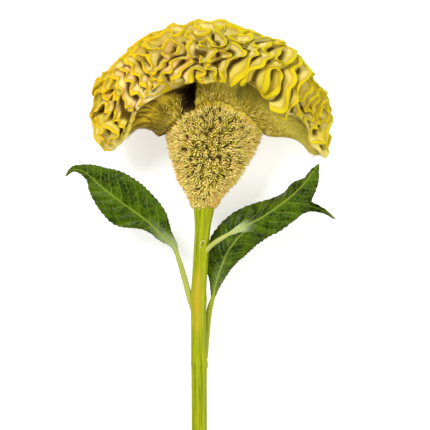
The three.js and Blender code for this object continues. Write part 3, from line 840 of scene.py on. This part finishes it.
def blade_mesh(name, blade, turned, paleness_and_sheen):
    bm = bmesh.new()
    bmesh.ops.create_grid(bm, x_segments=150, y_segments=56, size=1)
    mesh = mesh_of(bm, name)
    flat = coordinates(mesh)
    u, v = (flat[:, 0] + 1) / 2, flat[:, 1]
    last = len(blade) - 1
    station = along_rows(blade, u * last)
    ahead = along_rows(blade, np.minimum(u + 0.02, 1) * last)[:, :3]
    behind = along_rows(blade, np.maximum(u - 0.02, 0) * last)[:, :3]
    along = unit(ahead - behind)
    up = unit(np.stack([-along[:, 1], along[:, 0], 0 * u], axis=1))
    up *= np.where(up[:, 1:2] < 0, -1, 1)
    back = np.cross(up, along)
    back *= np.where(back[:, 2:3] > 0, -1, 1)
    half = np.where(v > 0, 1, -1)
    turn = np.radians(np.where(v > 0, turned[0], turned[1])) * np.minimum(1, 3 * u + 0.1)
    out = up * (half * np.cos(turn))[:, None] + back * np.sin(turn)[:, None]
    face = unit(np.cross(along, out))
    face *= np.where(face[:, 2:3] < 0, -1, 1)
    width = np.abs(v) * np.where(v > 0, station[:, 3], station[:, 4])
    length = np.linalg.norm(np.diff(np.array(blade)[:, :3], axis=0), axis=1).sum()
    vein, bulge = vein_share(u * length, half * width, length)
    inside = smooth(width, 0.5, 3) * (1 - smooth(np.abs(v), 0.93, 1))
    wave = 0.9 * v * v * np.sin(26 * u + 2 * half) * np.minimum(1, width / 5)
    arch = 0.07 * width * (1 - np.abs(v)) * 2
    height = wave + arch - 0.28 * bulge * inside - 0.15 * vein
    teeth = 1 + 0.02 * np.sin(2 * math.pi * u * length / 2.4) * smooth(np.abs(v), 0.7, 1)
    place_points(mesh, station[:, :3] + out * (width * teeth)[:, None] + face * height[:, None])
    mark(mesh, "vein", vein)
    # Painted sheen, strongest at the blade's base along the midrib.
    mark(mesh, "paleness_and_sheen", paleness_and_sheen * (1 - smooth(u, 0.1, 0.34)) * (1 - smooth(width, 1, 5)))
    return mesh


def green_rod(name, levels, line, radius_at, paleness_and_sheen):
    """A thin rod of the stem's green along a line, with its radius given by the share of the way."""
    bm = bmesh.new()
    add_tube(bm, 20, levels)
    mesh = mesh_of(bm, name)
    unit_points = coordinates(mesh)
    share = unit_points[:, 2]
    place_points(mesh, swept(unit_points, line, radius_at(share)))
    mark(mesh, "rib", 0.4 + 0 * share)
    mark(mesh, "blush", 0 * share)
    mark(mesh, "paleness_and_sheen", paleness_and_sheen + 0 * share)
    mark(mesh, "grain", np.stack([unit_points[:, 0] * 6, unit_points[:, 1] * 6, share * 4], axis=1))
    return mesh


def stalk_mesh(name, stalk, blade, stalk_radius, paleness_and_sheen):
    """The stalk, which thins into the blade's midrib."""
    line = [*stalk[:-1], *((x, y, z - 0.3) for x, y, z, _, _ in blade[:-1])]
    joint = (len(stalk) - 1) / (len(line) - 1)

    def radius_at(share):
        return lerp(stalk_radius, lerp(0.45, 0.15, share), smooth(share, 0.7 * joint, joint + 0.13))

    # The stalk is paled with part of the blade's painted sheen, over its own pale green.
    return green_rod(name, 90, line, radius_at, 0.7 * paleness_and_sheen)


def make_leaves(finish, stalk_finish):
    for name, leaf in LEAVES.items():
        form = blade_mesh(name, leaf["blade"], leaf["turned"], leaf["paleness_and_sheen"])
        blade = piece(f"{name}_blade", form, finish, "leaf", name)
        thick = blade.modifiers.new("thickness", "SOLIDIFY")
        thick.thickness = BLADE_THICKNESS * MM
        thick.offset = 0
        stalk = stalk_mesh(name, leaf["stalk"], leaf["blade"], leaf["radius"], leaf["paleness_and_sheen"])
        piece(f"{name}_stalk", stalk, stalk_finish, "stem", name)


def make_threads(finish):
    for name, line in THREADS.items():
        thread = green_rod(name, 30, line, lambda share: THREAD_RADIUS * (1 - 0.6 * share), 1)
        piece(name, thread, finish, "stem")


# Studio

def make_floor():
    bm = bmesh.new()
    bmesh.ops.create_grid(bm, x_segments=1, y_segments=1, size=2)
    mesh = mesh_of(bm, "floor")
    finish = Finish("floor", {"Roughness": 1.0, "Specular IOR Level": 0.0, "Emission Strength": 1.0})
    finish.set("Base Color", (0.62, 0.62, 0.62, 1))
    finish.set("Emission Color", (0.6, 0.6, 0.6, 1))
    mesh.materials.append(finish.material)
    floor = bpy.data.objects.new("floor", mesh)
    bpy.context.scene.collection.objects.link(floor)


def make_light(name, place, target, size, power):
    data = bpy.data.lights.new(name, "AREA")
    data.size = size
    data.energy = power
    light = bpy.data.objects.new(name, data)
    light.location = place
    light.rotation_euler = (Vector(target) - Vector(place)).to_track_quat("-Z", "Y").to_euler()
    bpy.context.scene.collection.objects.link(light)


def make_studio():
    make_floor()
    scene = bpy.context.scene
    scene.view_settings.view_transform = "Standard"
    world = bpy.data.worlds.new("studio")
    world.use_nodes = True
    world.node_tree.nodes["Background"].inputs["Color"].default_value = (1, 1, 1, 1)
    world.node_tree.nodes["Background"].inputs["Strength"].default_value = 0.4
    scene.world = world
    make_light("key", (-0.4, 0.35, 1.0), (0, 0.06, 0.03), 0.4, 10.5)
    make_light("fill", (0.75, -0.25, 0.9), (0, 0.05, 0.03), 0.8, 7.5)


def make_camera():
    half = PHOTO_SIDE / 2
    distance = LENS / SENSOR * PHOTO_SIDE * PIXEL
    seat = Vector(((half - PHOTO_STEM_X) * PIXEL, half * PIXEL + PHOTO_LOW_EDGE, distance))
    data = bpy.data.cameras.new("camera")
    data.lens = LENS
    data.sensor_width = SENSOR
    camera = bpy.data.objects.new("camera", data)
    camera.location = LYING @ seat
    camera.rotation_euler = (TILT, 0, 0)
    bpy.context.scene.collection.objects.link(camera)
    bpy.context.scene.camera = camera


make_camera()
make_studio()
stem_coat = stem_finish()
comb_coat = comb_finish()
piece("comb", comb_mesh(), comb_coat, "comb", "crest")
piece("neck_hairs", neck_hair_mesh(), hair_finish(), "comb", "crest")
piece("floret_core", core_mesh(), core_finish(), "florets", "floret_cone")
piece("florets", floret_mesh(), floret_finish(), "florets", "floret_cone")
piece("stem_skin", stem_mesh(), stem_coat, "stem", "stem")
make_leaves(leaf_finish(), stem_coat)
make_threads(stem_coat)
